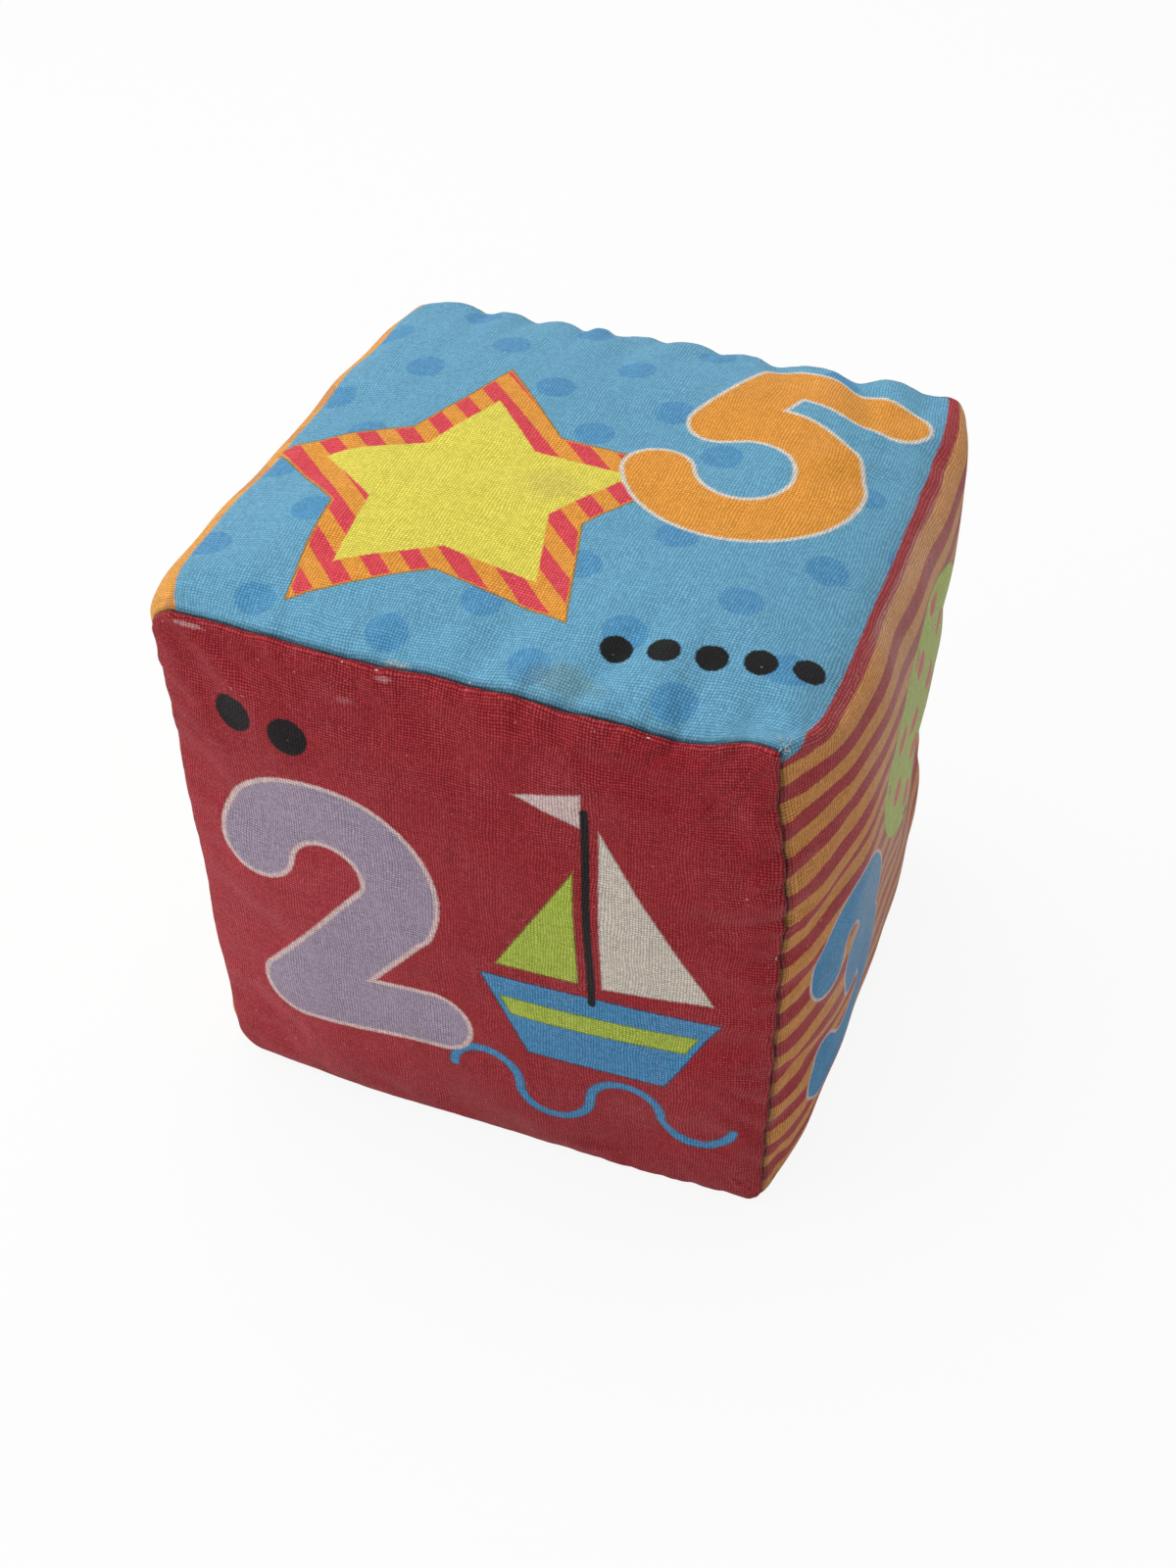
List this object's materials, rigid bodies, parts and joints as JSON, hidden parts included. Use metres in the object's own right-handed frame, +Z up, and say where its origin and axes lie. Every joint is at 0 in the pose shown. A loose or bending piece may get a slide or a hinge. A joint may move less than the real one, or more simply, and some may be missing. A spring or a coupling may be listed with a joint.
{
  "type": "soft fabric block",
  "caption": "Cube-shaped soft baby block: printed cotton sewn over a foam cube, with swollen sides, drawn-in corners and overhanging seams.",
  "frame": {"origin": "middle of the flat place that the block rests on", "axes": "+Z up, +X to the block's right (striped) side, -Y to its front (red) panel"},
  "size_m": [0.0992, 0.093, 0.094],
  "materials": {
    "foam": "open-cell polyurethane foam, dense and matt, hidden inside the cover",
    "strip_cotton": "matt plain-weave printed cotton, in blue, striped red and orange, and orange squares",
    "front_cotton": "matt plain-weave printed cotton, red ground",
    "back_cotton": "matt plain-weave printed cotton, green ground",
    "seam_thread": "spun polyester sewing thread, matt off-white",
    "hand_thread": "spun polyester sewing thread, orange"
  },
  "bodies": {
    "root": {"foam_core": "foam", "wrap_strip": "strip_cotton", "front_panel": "front_cotton", "back_panel": "back_cotton", "front_needle_thread": "seam_thread", "front_bobbin_thread": "seam_thread", "back_needle_thread": "seam_thread", "back_bobbin_thread": "seam_thread", "closing_thread": "hand_thread"}
  },
  "joints": []
}
